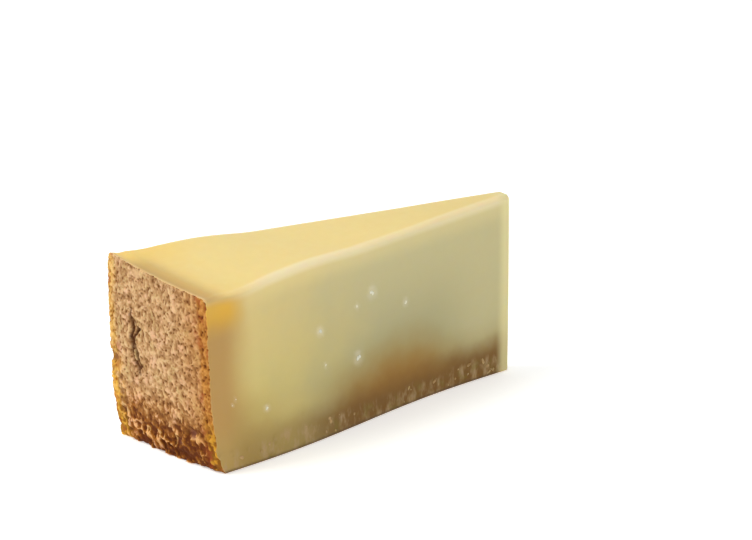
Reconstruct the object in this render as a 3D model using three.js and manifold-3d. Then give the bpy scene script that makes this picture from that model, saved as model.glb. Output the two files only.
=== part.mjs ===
// A tall wedge of gruyere, cut from the lower part of a wheel and trimmed at the tip.
// Millimetres, +Z up. The wedge points along +X, and its crusty heel faces -X.
// The origin is under the middle of the wedge's bounding box, on the face that it rests on.
// While the wedge is being shaped, x is measured from the chord of the heel towards the tip.
import * as THREE from "three";
import { mergeVertices } from "three/addons/utils/BufferGeometryUtils.js";
import Module from "manifold-3d";

// Driving dimensions of the cut
const WHEEL_RADIUS = 290;
const WEDGE_LENGTH = 256;
const HEEL_WIDTH = 94;
const HEIGHT_RIGHT = 105;
const HEIGHT_LEFT = 110;
const TIP_RISE = 1.5;

// Edges of the cut faces: round all over, but flatter along the foot
const CUT_EDGE_RADIUS = 3.2;
const FOOT_EDGE_HEIGHT = 0.8;

// Waves that the knife left, and how far it drifted to the side at the foot
const CUT_WAVE = 0.5;
const CUT_WAVE_LENGTH = 74;
const DRIFT = 3;

// The cut top dips behind the rind and then swells, at these places behind the heel.
// The dip fades to the left, and both lie nearer the heel on the left.
const TOP_DIP = { place: 26, reach: 26, height: -1.7, fade: 0.7 };
const TOP_CREST = { place: 88, reach: 52, height: 1.6, fade: 0 };
const TOP_SLANT = 0.42;

// The heel: bowed in plan. Its upright edges stand in by this much at the top,
// by a part that grows evenly on the way down, and by a tuck at the foot.
const HEEL_BOW = 2.2;
const LEAN_LEFT = { top: 0.3, fall: 0, tuck: 7, power: 5 };
const LEAN_RIGHT = { top: -3, fall: 7, tuck: 7, power: 8 };
const FOOT_RADIUS = 2;

// Crags of the rind, which are higher near the foot
const CRAG_SIZE = 4.8;
const CRAG_HEIGHT = 0.6;
const FOOT_CRAGS = 2;
const FOOT_CRAG_SHARE = 0.36;
const SWELL_SIZE = 23;
const SWELL_HEIGHT = 0.5;

// One crag, in shares of the usual distance between two and of the full height
const CRAG = { reach: 0.62, reachSpread: 0.4, rise: 0.45, riseSpread: 0.55 };

// The long crack, whose two strands part and meet again.
// Its place is in shares of the heel's width and height from its left foot.
const CRACK = {
  across: 0.288,
  low: 0.4,
  high: 0.8,
  slant: 0.137,
  depth: 3.6,
  strandHalfWidth: 2.4,
  parting: 2.3,
  loopLength: 16.6,
  wander: 2.7,
  wanderLength: 8,
  jag: 1.1,
  jagSize: 2.8,
  islandSize: 2.9,
  islandShare: 0.5,
};

// Broken-out places in the rind, as shares of the heel's width and height from its left foot
const DENTS = [
  { across: 0.786, up: 0.194, radius: 6, depth: 2.6 },
  { across: 0.64, up: 0.12, radius: 5, depth: 2 },
  { across: 0.045, up: 0.463, radius: 5.5, depth: 2.6 },
  { across: 0.36, up: 0.86, radius: 4.5, depth: 1.2 },
];

// Numbers of the fixed draws, and where the waves of each cut face and of the top are read
const SEEDS = { swell: 5, crags: 11, islands: 29, faceWave: 31, topWave: 37, jag: 41, wander: 2123 };
const FACE_OFFSET = 400;
const TOP_OFFSET = 900;

// Fineness of the mesh, in segments, and the rails that follow a rounded edge
const LENGTH_SEGMENTS = 22;
const WIDTH_SEGMENTS = 10;
const HEIGHT_SEGMENTS = 12;
const HEEL_ACROSS = 62;
const HEEL_UP = 70;
const RAIL_SHARES = [0, 0.5, 1];

// How far the cutting shapes run past each other, along the wedge and to its sides
const OVERSHOOT = 14;
const SIDE_OVERSHOOT = 3;

const HALF_ANGLE = Math.asin(HEEL_WIDTH / 2 / WHEEL_RADIUS);

const wasm = await Module();
wasm.setup();

// Half of the wedge's width at a distance x behind the heel's chord.
function halfWidth(x) {
  const toCentre = WHEEL_RADIUS * Math.cos(HALF_ANGLE) - x;
  return toCentre * Math.tan(HALF_ANGLE);
}

// A smooth mound that is highest at distance 0 and level from its reach on.
function mound(distance, reach, height) {
  const share = Math.min(Math.abs(distance) / reach, 1);
  return height * (1 - share * share) ** 2;
}

// Height of the cut top, which rises a little to the left and towards the tip.
function topHeight(x, y) {
  const toLeft = 0.5 + y / HEEL_WIDTH;
  const slanted = x / (1 - TOP_SLANT * toLeft);
  let height = THREE.MathUtils.lerp(HEIGHT_RIGHT, HEIGHT_LEFT, toLeft);
  for (const wave of [TOP_DIP, TOP_CREST]) {
    height += mound(slanted - wave.place, wave.reach, wave.height) * (1 - wave.fade * toLeft);
  }
  return height + (TIP_RISE * x) / WEDGE_LENGTH;
}

// A fixed draw between 0 and 1 for one cell of a lattice.
function draw(i, j, seed) {
  let h = Math.imul(i, 374761393) ^ Math.imul(j, 668265263) ^ Math.imul(seed, 974711);
  h = Math.imul(h ^ (h >>> 13), 1274126177);
  h = Math.imul(h ^ (h >>> 15), 739982445);
  return ((h ^ (h >>> 16)) >>> 0) / 2 ** 32;
}

// Smooth noise between -1 and 1.
function swell(u, v, size, seed) {
  const [i, j] = [Math.floor(u / size), Math.floor(v / size)];
  const s = THREE.MathUtils.smoothstep(u / size - i, 0, 1);
  const t = THREE.MathUtils.smoothstep(v / size - j, 0, 1);
  const low = THREE.MathUtils.lerp(draw(i, j, seed), draw(i + 1, j, seed), s);
  const high = THREE.MathUtils.lerp(draw(i, j + 1, seed), draw(i + 1, j + 1, seed), s);
  return 2 * THREE.MathUtils.lerp(low, high, t) - 1;
}

// Rounded lumps of uneven size with creases between them, from 0 to 1.
function crags(u, v, size, seed) {
  const [i, j] = [Math.floor(u / size), Math.floor(v / size)];
  let height = 0;
  for (let a = i - 1; a <= i + 1; a++) {
    for (let b = j - 1; b <= j + 1; b++) {
      const du = u - (a + draw(a, b, seed)) * size;
      const dv = v - (b + draw(a, b, seed + 1)) * size;
      const reach = size * (CRAG.reach + CRAG.reachSpread * draw(a, b, seed + 2));
      const rise = CRAG.rise + CRAG.riseSpread * draw(a, b, seed + 3);
      height = Math.max(height, rise * (1 - (du * du + dv * dv) / (reach * reach)));
    }
  }
  return height;
}

// Depth of the crack, which wanders up the heel and runs out at both ends.
function crackDepth(y, z) {
  const aboveMiddle = z - (HEIGHT_RIGHT * (CRACK.low + CRACK.high)) / 2;
  const halfLength = (HEIGHT_RIGHT * (CRACK.high - CRACK.low)) / 2;
  const along = THREE.MathUtils.clamp(aboveMiddle / halfLength, -1, 1);
  const wander = CRACK.wander * swell(z, 0, CRACK.wanderLength, SEEDS.wander);
  const jagged = CRACK.jag * swell(y, z, CRACK.jagSize, SEEDS.jag);
  const path = HEEL_WIDTH * (0.5 - CRACK.across) + CRACK.slant * aboveMiddle + wander;
  const apart = CRACK.parting * Math.abs(Math.sin((Math.PI * aboveMiddle) / CRACK.loopLength));
  const fromStrand = Math.abs(y - path + jagged) - apart;
  const islands = CRACK.islandShare * crags(y, z, CRACK.islandSize, SEEDS.islands);
  return mound(fromStrand, CRACK.strandHalfWidth, CRACK.depth) * (1 - along ** 4) * (1 - islands);
}

// How far the rind stands out from the heel's even surface.
function relief(y, z) {
  const nearFoot = 1 - THREE.MathUtils.smoothstep(z / HEIGHT_RIGHT, 0, FOOT_CRAG_SHARE);
  const cragHeight = CRAG_HEIGHT * (1 + FOOT_CRAGS * nearFoot);
  let out = cragHeight * (crags(y, z, CRAG_SIZE, SEEDS.crags) - 0.5);
  out += SWELL_HEIGHT * swell(y, z, SWELL_SIZE, SEEDS.swell);
  out -= crackDepth(y, z);
  for (const dent of DENTS) {
    const dy = y - HEEL_WIDTH * (0.5 - dent.across);
    const dz = z - HEIGHT_RIGHT * dent.up;
    out -= mound(Math.hypot(dy, dz), dent.radius, dent.depth);
  }
  return out;
}

// How far an upright edge of the heel stands in, from its top, where down is 0, to its foot, where it is 1.
function inset(lean, down) {
  return lean.top + lean.fall * down + lean.tuck * down ** lean.power;
}

// x of the heel's outer surface at a place across and up it.
function heelSurface(y, z) {
  const toLeft = THREE.MathUtils.clamp(0.5 + y / HEEL_WIDTH, 0, 1);
  const down = THREE.MathUtils.clamp(1 - z / HEIGHT_RIGHT, 0, 1);
  const lean = THREE.MathUtils.lerp(inset(LEAN_RIGHT, down), inset(LEAN_LEFT, down), toLeft);
  const bow = HEEL_BOW * (1 - ((2 * y) / HEEL_WIDTH) ** 2);
  const aboveFoot = THREE.MathUtils.clamp(z, 0, FOOT_RADIUS);
  const foot = FOOT_RADIUS - Math.sqrt(FOOT_RADIUS ** 2 - (FOOT_RADIUS - aboveFoot) ** 2);
  return lean - bow + foot - relief(y, z);
}

// Places along an edge of the given length: close together where its ends are rounded, even between.
function rails(length, segments, first = CUT_EDGE_RADIUS, last = CUT_EDGE_RADIUS) {
  const near = RAIL_SHARES.map((share) => share * first);
  const far = RAIL_SHARES.map((share) => length - share * last).reverse();
  const between = segments + 1 - near.length - far.length;
  const step = (length - first - last) / (between + 1);
  const middle = Array.from({ length: between }, (_, n) => first + step * (n + 1));
  return [...near, ...middle, ...far];
}

// Moves each point of a geometry by a function.
function reshape(geometry, move) {
  const place = geometry.attributes.position;
  const point = new THREE.Vector3();
  for (let n = 0; n < place.count; n++) {
    move(point.fromBufferAttribute(place, n));
    place.setXYZ(n, point.x, point.y, point.z);
  }
  return geometry;
}

// Rounds a point near an edge of the cut block. Near the foot the rounding is flattened.
function roundEdges(point) {
  const r = CUT_EDGE_RADIUS;
  const side = halfWidth(point.x);
  const top = topHeight(point.x, point.y);
  const flatness = point.z < FOOT_EDGE_HEIGHT ? r / FOOT_EDGE_HEIGHT : 1;
  const core = new THREE.Vector3(
    Math.min(point.x, WEDGE_LENGTH - r),
    THREE.MathUtils.clamp(point.y, r - side, side - r),
    THREE.MathUtils.clamp(point.z, FOOT_EDGE_HEIGHT, top - r),
  );
  const outward = point.clone().sub(core);
  outward.z *= flatness;
  if (outward.length() <= r) return;
  outward.setLength(r);
  outward.z /= flatness;
  point.copy(core).add(outward);
}

// Waves a point of the cut block as the knife leaves its faces. top is the height of the top over it.
function waveCuts(point, top) {
  const up = point.z / top;
  const faceStart = FACE_OFFSET * Math.sign(point.y);
  const wave = CUT_WAVE * swell(point.x, point.z + faceStart, CUT_WAVE_LENGTH, SEEDS.faceWave);
  point.y += Math.sin(Math.PI * THREE.MathUtils.clamp(up, 0, 1)) * wave;
  point.y -= (1 - up) * DRIFT * Math.sin((2 * Math.PI * point.x) / WEDGE_LENGTH);
  point.z += up * CUT_WAVE * swell(point.x, point.y + TOP_OFFSET, CUT_WAVE_LENGTH, SEEDS.topWave);
}

// The cut block: its flat faces, gently waved by the knife, and its soft edges. It runs past the heel.
function cutBlock() {
  const segments = [LENGTH_SEGMENTS, WIDTH_SEGMENTS, HEIGHT_SEGMENTS];
  const along = rails(WEDGE_LENGTH + OVERSHOOT, LENGTH_SEGMENTS);
  const box = new THREE.BoxGeometry(...segments, ...segments);
  box.translate(LENGTH_SEGMENTS / 2, WIDTH_SEGMENTS / 2, HEIGHT_SEGMENTS / 2);
  return reshape(box, (point) => {
    const x = along[Math.round(point.x)] - OVERSHOOT;
    const side = halfWidth(x);
    const y = rails(2 * side, WIDTH_SEGMENTS)[Math.round(point.y)] - side;
    const top = topHeight(x, y);
    const z = rails(top, HEIGHT_SEGMENTS, FOOT_EDGE_HEIGHT)[Math.round(point.z)];
    point.set(x, y, z);
    roundEdges(point);
    waveCuts(point, top);
  });
}

// A slab whose front is the rind, and which holds everything behind it.
function behindTheRind() {
  const width = HEEL_WIDTH + 2 * SIDE_OVERSHOOT;
  const height = HEIGHT_LEFT + TOP_CREST.height + TIP_RISE + 2 * SIDE_OVERSHOOT;
  const depth = WEDGE_LENGTH + 2 * OVERSHOOT;
  const box = new THREE.BoxGeometry(depth, width, height, 1, HEEL_ACROSS, HEEL_UP);
  box.translate(depth / 2, 0, height / 2 - SIDE_OVERSHOOT);
  return reshape(box, (point) => {
    const onFront = point.x < OVERSHOOT;
    if (onFront) point.x = heelSurface(point.y, point.z);
  });
}

// A closed geometry as a solid that can be cut.
function solidOf(geometry) {
  geometry.deleteAttribute("normal");
  geometry.deleteAttribute("uv");
  const merged = mergeVertices(geometry);
  return new wasm.Manifold(
    new wasm.Mesh({
      numProp: 3,
      vertProperties: merged.attributes.position.array,
      triVerts: new Uint32Array(merged.index.array),
    }),
  );
}

// A solid as a geometry.
function geometryOf(solid) {
  const mesh = solid.getMesh();
  const geometry = new THREE.BufferGeometry();
  geometry.setAttribute("position", new THREE.BufferAttribute(mesh.vertProperties, 3));
  geometry.setIndex(new THREE.BufferAttribute(mesh.triVerts, 1));
  geometry.computeVertexNormals();
  return geometry;
}

// The wedge, with its box's middle over the origin.
function cheeseWedge() {
  const geometry = geometryOf(solidOf(cutBlock()).intersect(solidOf(behindTheRind())));
  const paste = new THREE.MeshStandardMaterial({ color: 0xe3cf93, roughness: 0.5, metalness: 0 });
  const wedge = new THREE.Mesh(geometry, paste);
  wedge.name = "cheese_wedge";
  geometry.computeBoundingBox();
  const middle = geometry.boundingBox.getCenter(new THREE.Vector3());
  wedge.position.set(-middle.x, -middle.y, 0);
  return wedge;
}

const cheese = new THREE.Group();
cheese.add(cheeseWedge());

export default cheese;
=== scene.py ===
"""A tall wedge of gruyere: its paste, rind, crystals and crumbs, on a pale floor in soft studio light."""

import logging
import math
import random
from dataclasses import dataclass
from enum import Enum

import bmesh
import bpy
import numpy as np
from mathutils import Matrix, Vector


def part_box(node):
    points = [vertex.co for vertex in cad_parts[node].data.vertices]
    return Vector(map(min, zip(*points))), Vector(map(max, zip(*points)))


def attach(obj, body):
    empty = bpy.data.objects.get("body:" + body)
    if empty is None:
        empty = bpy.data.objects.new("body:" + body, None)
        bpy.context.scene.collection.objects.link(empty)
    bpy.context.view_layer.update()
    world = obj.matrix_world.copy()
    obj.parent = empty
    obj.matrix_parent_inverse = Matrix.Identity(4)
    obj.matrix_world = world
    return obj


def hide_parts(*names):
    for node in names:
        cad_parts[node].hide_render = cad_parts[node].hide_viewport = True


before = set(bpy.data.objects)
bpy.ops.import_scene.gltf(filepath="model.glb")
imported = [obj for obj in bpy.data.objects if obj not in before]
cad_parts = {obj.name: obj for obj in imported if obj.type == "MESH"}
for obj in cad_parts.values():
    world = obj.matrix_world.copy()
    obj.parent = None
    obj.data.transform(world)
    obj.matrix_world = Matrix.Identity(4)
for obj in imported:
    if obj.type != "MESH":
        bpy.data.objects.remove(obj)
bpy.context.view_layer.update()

MM = 0.001
NODE = "cheese_wedge"
BODY = "root"
CELL_DRAW_FACTORS = (374761393, 668265263, 974711)
CELL_DRAW_MIXERS = (1274126177, 739982445)
LOW_BITS = 0xFFFFFFFF

# Lumps and pits, in shares of a cell: the least, and how much a draw may add to it
LUMP_REACH = (0.62, 0.4)
LUMP_RISE = (0.45, 0.55)
POCK_REACH = (0.2, 0.2)

log = logging.getLogger("gruyere")


class Side(Enum):
    """The two cut faces, by the side they are on for someone looking from the heel to the tip."""

    LEFT = 1
    RIGHT = -1


class Dress(Enum):
    """The material slots of the wedge."""

    PASTE = 0
    RIND = 1
    UNDERSIDE = 2


class Seed:
    """Numbers of the draws, by the noise that they are for."""

    HEEL_SWELL: int = 5
    CRAGS: int = 11
    CRACK_ISLANDS: int = 29
    CUT_WAVE: int = 31
    TOP_WAVE: int = 37
    SMALL_CUT_WAVE: int = 41
    CRACK_JAG: int = 41
    SMALL_TOP_WAVE: int = 43
    BLOOM: int = 53
    WARP_ACROSS: int = 61
    FINE_WARP_ACROSS: int = 63
    WARP_UP: int = 67
    FINE_WARP_UP: int = 69
    ROUGH_GRAIN: int = 71
    FINE_GRAIN: int = 83
    RIDGES: int = 97
    RIDGE_BREAKS: int = 103
    PITS: int = 113
    KNOBS: int = 127
    CRACK_PATH: int = 2123


# Numbers and noise

def srgb(red: int, green: int, blue: int) -> tuple[float, float, float, float]:
    """Turns a colour as it shows on a screen into the linear one that shaders take.

    Args:
        red: Red from 0 to 255.
        green: Green from 0 to 255.
        blue: Blue from 0 to 255.

    Returns:
        Linear red, green and blue from 0 to 1, and full alpha.
    """
    shares = [channel / 255 for channel in (red, green, blue)]
    linear = [s / 12.92 if s <= 0.04045 else ((s + 0.055) / 1.055) ** 2.4 for s in shares]
    return (*linear, 1.0)


def smooth_rise(value: np.ndarray, low: float, high: float) -> np.ndarray:
    """Rises smoothly from 0 where value is low to 1 where it is high.

    Args:
        value: Where to read the curve.
        low: Where it starts to rise.
        high: Where it ends.

    Returns:
        Values between 0 and 1.
    """
    share = np.clip((value - low) / (high - low), 0.0, 1.0)
    return share * share * (3.0 - 2.0 * share)


def mound(distance: np.ndarray, reach: float, height: float) -> np.ndarray:
    """A smooth mound that is highest at distance 0 and level from its reach on.

    Args:
        distance: Distance from the mound's middle.
        reach: Where it ends.
        height: Height of its middle.

    Returns:
        The mound's height at each distance.
    """
    share = np.minimum(np.abs(distance) / reach, 1.0)
    return height * (1.0 - share * share) ** 2


def draw(i: np.ndarray, j: np.ndarray, seed: int) -> np.ndarray:
    """A fixed draw for each cell of a lattice.

    Args:
        i: First index of each cell.
        j: Second index of each cell.
        seed: Number of the draw.

    Returns:
        Values between 0 and 1.
    """
    by_first, by_second, by_seed = CELL_DRAW_FACTORS
    h = ((i * by_first) ^ (j * by_second) ^ (seed * by_seed)) & LOW_BITS
    h = ((h ^ (h >> 13)) * CELL_DRAW_MIXERS[0]) & LOW_BITS
    h = ((h ^ (h >> 15)) * CELL_DRAW_MIXERS[1]) & LOW_BITS
    return (h ^ (h >> 16)) / 2.0 ** 32


def cells(u: np.ndarray, v: np.ndarray, size: float) -> tuple[np.ndarray, np.ndarray]:
    """Indices of the lattice cell that each point lies in.

    Args:
        u: First coordinate of each point.
        v: Second coordinate of each point.
        size: Width of a cell.

    Returns:
        The two indices of each point's cell.
    """
    return np.floor(u / size).astype(np.int64), np.floor(v / size).astype(np.int64)


def swell(u: np.ndarray, v: np.ndarray, size: float, seed: int) -> np.ndarray:
    """Smooth noise.

    Args:
        u: First coordinate of each point.
        v: Second coordinate of each point.
        size: Width of the noise's cells.
        seed: Number of the draw.

    Returns:
        Values between -1 and 1.
    """
    i, j = cells(u, v, size)
    s = smooth_rise(u / size - i, 0, 1)
    t = smooth_rise(v / size - j, 0, 1)
    low = draw(i, j, seed) * (1 - s) + draw(i + 1, j, seed) * s
    high = draw(i, j + 1, seed) * (1 - s) + draw(i + 1, j + 1, seed) * s
    return 2 * (low * (1 - t) + high * t) - 1


def crags(u: np.ndarray, v: np.ndarray, size: float, seed: int) -> np.ndarray:
    """Rounded lumps of uneven size with creases between them.

    Args:
        u: First coordinate of each point.
        v: Second coordinate of each point.
        size: Usual distance between two lumps.
        seed: Number of the first draw.

    Returns:
        Heights from 0, in a crease, to 1.
    """
    i, j = cells(u, v, size)
    height = np.zeros_like(u)
    for a in (i - 1, i, i + 1):
        for b in (j - 1, j, j + 1):
            du = u - (a + draw(a, b, seed)) * size
            dv = v - (b + draw(a, b, seed + 1)) * size
            reach = size * (LUMP_REACH[0] + LUMP_REACH[1] * draw(a, b, seed + 2))
            rise = LUMP_RISE[0] + LUMP_RISE[1] * draw(a, b, seed + 3)
            height = np.maximum(height, rise * (1 - (du * du + dv * dv) / (reach * reach)))
    return height


def pocks(u: np.ndarray, v: np.ndarray, size: float, share: float, seed: int) -> np.ndarray:
    """Small round pits, scattered one to a cell over a share of the cells.

    Args:
        u: First coordinate of each point.
        v: Second coordinate of each point.
        size: Width of a cell.
        share: Share of the cells that hold a pit.
        seed: Number of the first draw.

    Returns:
        Depths from 0 to 1.
    """
    i, j = cells(u, v, size)
    depth = np.zeros_like(u)
    for a in (i - 1, i, i + 1):
        for b in (j - 1, j, j + 1):
            du = u - (a + draw(a, b, seed)) * size
            dv = v - (b + draw(a, b, seed + 1)) * size
            reach = size * (POCK_REACH[0] + POCK_REACH[1] * draw(a, b, seed + 2))
            there = draw(a, b, seed + 3) < share
            depth = np.maximum(depth, there * mound(np.hypot(du, dv) / reach, 1.0, 1.0))
    return depth


# The wedge's form

@dataclass(frozen=True)
class Dent:
    """A broken-out place in the rind. Its place is in shares of the heel from its left foot."""

    across: float
    up: float
    radius: float
    depth: float


@dataclass(frozen=True)
class Crack:
    """The long crack up the heel, whose two strands part and meet again.

    Its place is in shares of the heel from its left foot, and its sizes are in metres.
    """

    across: float = 0.288
    low: float = 0.40
    high: float = 0.80
    slant: float = 0.137
    depth: float = 3.6 * MM
    strand_half_width: float = 2.4 * MM
    parting: float = 2.3 * MM
    loop_length: float = 16.6 * MM
    wander: float = 2.7 * MM
    wander_length: float = 8 * MM
    jag: float = 1.1 * MM
    jag_size: float = 2.8 * MM
    island_size: float = 2.9 * MM
    island_share: float = 0.5


@dataclass(frozen=True)
class Swelling:
    """A wave of the cut top right across the wedge, at a place behind the heel. It may fade to the left."""

    place: float
    reach: float
    height: float
    fade: float


@dataclass(frozen=True)
class Lean:
    """How far an upright edge of the heel stands in: at its top, falling evenly, and tucked in below."""

    top: float
    fall: float
    tuck: float
    power: float

    def inset(self, down: np.ndarray) -> np.ndarray:
        """How far the edge stands in, from its top, where down is 0, to its foot, where it is 1."""
        return self.top + self.fall * down + self.tuck * down ** self.power


@dataclass(frozen=True)
class WedgeForm:
    """The wedge's form, in metres. Here x runs from the heel's chord to the tip, and z up from the foot."""

    wheel_radius: float = 290 * MM
    length: float = 256 * MM
    width: float = 94 * MM
    height_right: float = 105 * MM
    height_left: float = 110 * MM
    tip_rise: float = 1.5 * MM
    edge_radius: float = 3.2 * MM
    foot_edge_height: float = 0.8 * MM
    drift: float = 3 * MM
    cut_wave: float = 0.5 * MM
    cut_wave_length: float = 74 * MM
    top_dip: Swelling = Swelling(26 * MM, 26 * MM, -1.7 * MM, 0.7)
    top_crest: Swelling = Swelling(88 * MM, 52 * MM, 1.6 * MM, 0.0)
    top_slant: float = 0.42
    heel_bow: float = 2.2 * MM
    lean_left: Lean = Lean(0.3 * MM, 0.0, 7.0 * MM, 5.0)
    lean_right: Lean = Lean(-3 * MM, 7 * MM, 7 * MM, 8.0)
    foot_radius: float = 2 * MM
    crag_size: float = 4.8 * MM
    crag_height: float = 0.6 * MM
    foot_crags: float = 2.0
    foot_crag_share: float = 0.36
    swell_size: float = 23 * MM
    swell_height: float = 0.5 * MM
    crack: Crack = Crack()
    dents: tuple[Dent, ...] = (
        Dent(0.786, 0.194, 6.0 * MM, 2.6 * MM),
        Dent(0.64, 0.12, 5 * MM, 2.0 * MM),
        Dent(0.045, 0.463, 5.5 * MM, 2.6 * MM),
        Dent(0.36, 0.86, 4.5 * MM, 1.2 * MM),
    )

    @property
    def half_angle(self) -> float:
        """Half of the angle between the two cut faces."""
        return math.asin(self.width / 2 / self.wheel_radius)

    def half_width(self, x: np.ndarray) -> np.ndarray:
        """Half of the wedge's width at each distance behind the heel's chord."""
        to_centre = self.wheel_radius * math.cos(self.half_angle) - x
        return to_centre * math.tan(self.half_angle)

    def top_height(self, x: np.ndarray, y: np.ndarray) -> np.ndarray:
        """Height of the cut top at each place."""
        to_left = 0.5 + y / self.width
        height = self.height_right + (self.height_left - self.height_right) * to_left
        slanted = x / (1 - self.top_slant * to_left)
        for wave in (self.top_dip, self.top_crest):
            height = height + mound(slanted - wave.place, wave.reach, wave.height) * (1 - wave.fade * to_left)
        return height + self.tip_rise * x / self.length

    def near_foot(self, z: np.ndarray) -> np.ndarray:
        """1 at the foot of the heel, falling to 0 where the rough lower rind ends."""
        return 1 - smooth_rise(z / self.height_right, 0, self.foot_crag_share)

    def crack_depth(self, y: np.ndarray, z: np.ndarray) -> np.ndarray:
        """Depth of the crack at each place on the heel."""
        crack = self.crack
        above_middle = z - self.height_right * (crack.low + crack.high) / 2
        half_length = self.height_right * (crack.high - crack.low) / 2
        along = np.clip(above_middle / half_length, -1, 1)
        wander = crack.wander * swell(z, np.zeros_like(z), crack.wander_length, Seed.CRACK_PATH)
        path = self.width * (0.5 - crack.across) + crack.slant * above_middle + wander
        apart = crack.parting * np.abs(np.sin(np.pi * above_middle / crack.loop_length))
        jagged = crack.jag * swell(y, z, crack.jag_size, Seed.CRACK_JAG)
        from_strand = np.abs(y - path + jagged) - apart
        islands = crack.island_share * crags(y, z, crack.island_size, Seed.CRACK_ISLANDS)
        return mound(from_strand, crack.strand_half_width, crack.depth) * (1 - along ** 4) * (1 - islands)

    def dent_depth(self, y: np.ndarray, z: np.ndarray) -> np.ndarray:
        """Depth of the broken-out places at each place on the heel."""
        depth = np.zeros_like(y)
        for dent in self.dents:
            dy = y - self.width * (0.5 - dent.across)
            dz = z - self.height_right * dent.up
            depth = depth + mound(np.hypot(dy, dz), dent.radius, dent.depth)
        return depth

    def relief(self, y: np.ndarray, z: np.ndarray) -> np.ndarray:
        """How far the rind's crags stand out from the heel's even surface."""
        height = self.crag_height * (1 + self.foot_crags * self.near_foot(z))
        out = height * (crags(y, z, self.crag_size, Seed.CRAGS) - 0.5)
        out = out + self.swell_height * swell(y, z, self.swell_size, Seed.HEEL_SWELL)
        return out - self.crack_depth(y, z) - self.dent_depth(y, z)

    def even_heel(self, y: np.ndarray, z: np.ndarray) -> np.ndarray:
        """x of the heel's even surface, which is bowed and leans in towards the foot."""
        to_left = np.clip(0.5 + y / self.width, 0, 1)
        down = np.clip(1 - z / self.height_right, 0, 1)
        right, left = self.lean_right.inset(down), self.lean_left.inset(down)
        bow = self.heel_bow * (1 - (2 * y / self.width) ** 2)
        inset = self.foot_radius - np.clip(z, 0, self.foot_radius)
        foot = self.foot_radius - np.sqrt(self.foot_radius ** 2 - inset ** 2)
        return right * (1 - to_left) + left * to_left - bow + foot


@dataclass(frozen=True)
class RindGrain:
    """The fine grain of the rind, over its crags, in metres: pits above, ridges at the foot, and grit."""

    warp: float = 0.7 * MM
    warp_size: float = 2.7 * MM
    fine_warp: float = 0.25 * MM
    fine_warp_size: float = 1.1 * MM
    rough_size: float = 2.0 * MM
    rough_height: float = 0.36 * MM
    fine_size: float = 1.15 * MM
    fine_height: float = 0.22 * MM
    pit_cell: float = 3.4 * MM
    pit_share: float = 0.85
    pit_depth: float = 0.6 * MM
    ridge_size: float = 4.4 * MM
    ridge_height: float = 1.4 * MM
    ridge_stretch: float = 1.5
    ridge_break: float = 4.4 * MM
    knob_cell: float = 3.4 * MM
    knob_share: float = 0.5
    knob_height: float = 0.8 * MM
    knob_stretch: float = 1.6
    foot_low: float = 0.08
    foot_high: float = 0.36
    foot_fine: float = 0.5
    ridge_sink: float = 0.27
    knob_sink: float = 0.15
    crest_middle: float = 0.58
    crest_foot_drop: float = 0.18
    crest_range: float = 1.3 * MM
    crest_foot_range: float = 0.2 * MM
    crest_crags: float = 0.12
    crest_foot_crags: float = 0.15

    def read(self, form: WedgeForm, y: np.ndarray, z: np.ndarray) -> tuple[np.ndarray, np.ndarray]:
        """Works out the grain on the heel.

        Args:
            form: The wedge's form.
            y: Place across the heel.
            z: Place up the heel.

        Returns:
            How far the grain stands out, and how near each place is to a crest, from 0 to 1.
        """
        u = y + self.warp * swell(y, z, self.warp_size, Seed.WARP_ACROSS)
        v = z + self.warp * swell(y, z, self.warp_size, Seed.WARP_UP)
        u = u + self.fine_warp * swell(y, z, self.fine_warp_size, Seed.FINE_WARP_ACROSS)
        v = v + self.fine_warp * swell(y, z, self.fine_warp_size, Seed.FINE_WARP_UP)
        foot = 1 - smooth_rise(z / form.height_right, self.foot_low, self.foot_high)
        rough = self.rough_height * swell(u, v, self.rough_size, Seed.ROUGH_GRAIN)
        fine = self.fine_height * swell(u, v, self.fine_size, Seed.FINE_GRAIN)
        pits = self.pit_depth * pocks(u, v, self.pit_cell, self.pit_share, Seed.PITS)
        crease = np.abs(swell(u, v / self.ridge_stretch, self.ridge_size, Seed.RIDGES))
        ridge = self.ridge_height * (1 - crease) ** 5
        ridge = ridge * smooth_rise(swell(u, v, self.ridge_break, Seed.RIDGE_BREAKS), -0.5, 0.2)
        knobs = pocks(u, v / self.knob_stretch, self.knob_cell, self.knob_share, Seed.KNOBS)
        upper = rough + fine - pits
        lower = rough + self.foot_fine * fine + ridge - self.ridge_sink * self.ridge_height
        lower = lower + self.knob_height * (knobs - self.knob_sink)
        out = upper * (1 - foot) + lower * foot
        coarse = crags(y, z, form.crag_size, Seed.CRAGS) - 0.5
        crest = self.crest_middle - self.crest_foot_drop * foot
        crest = crest + out / (self.crest_range + self.crest_foot_range * foot)
        crest = crest + (self.crest_crags + self.crest_foot_crags * foot) * coarse
        return out, np.clip(crest, 0, 1)


# Node trees

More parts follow.
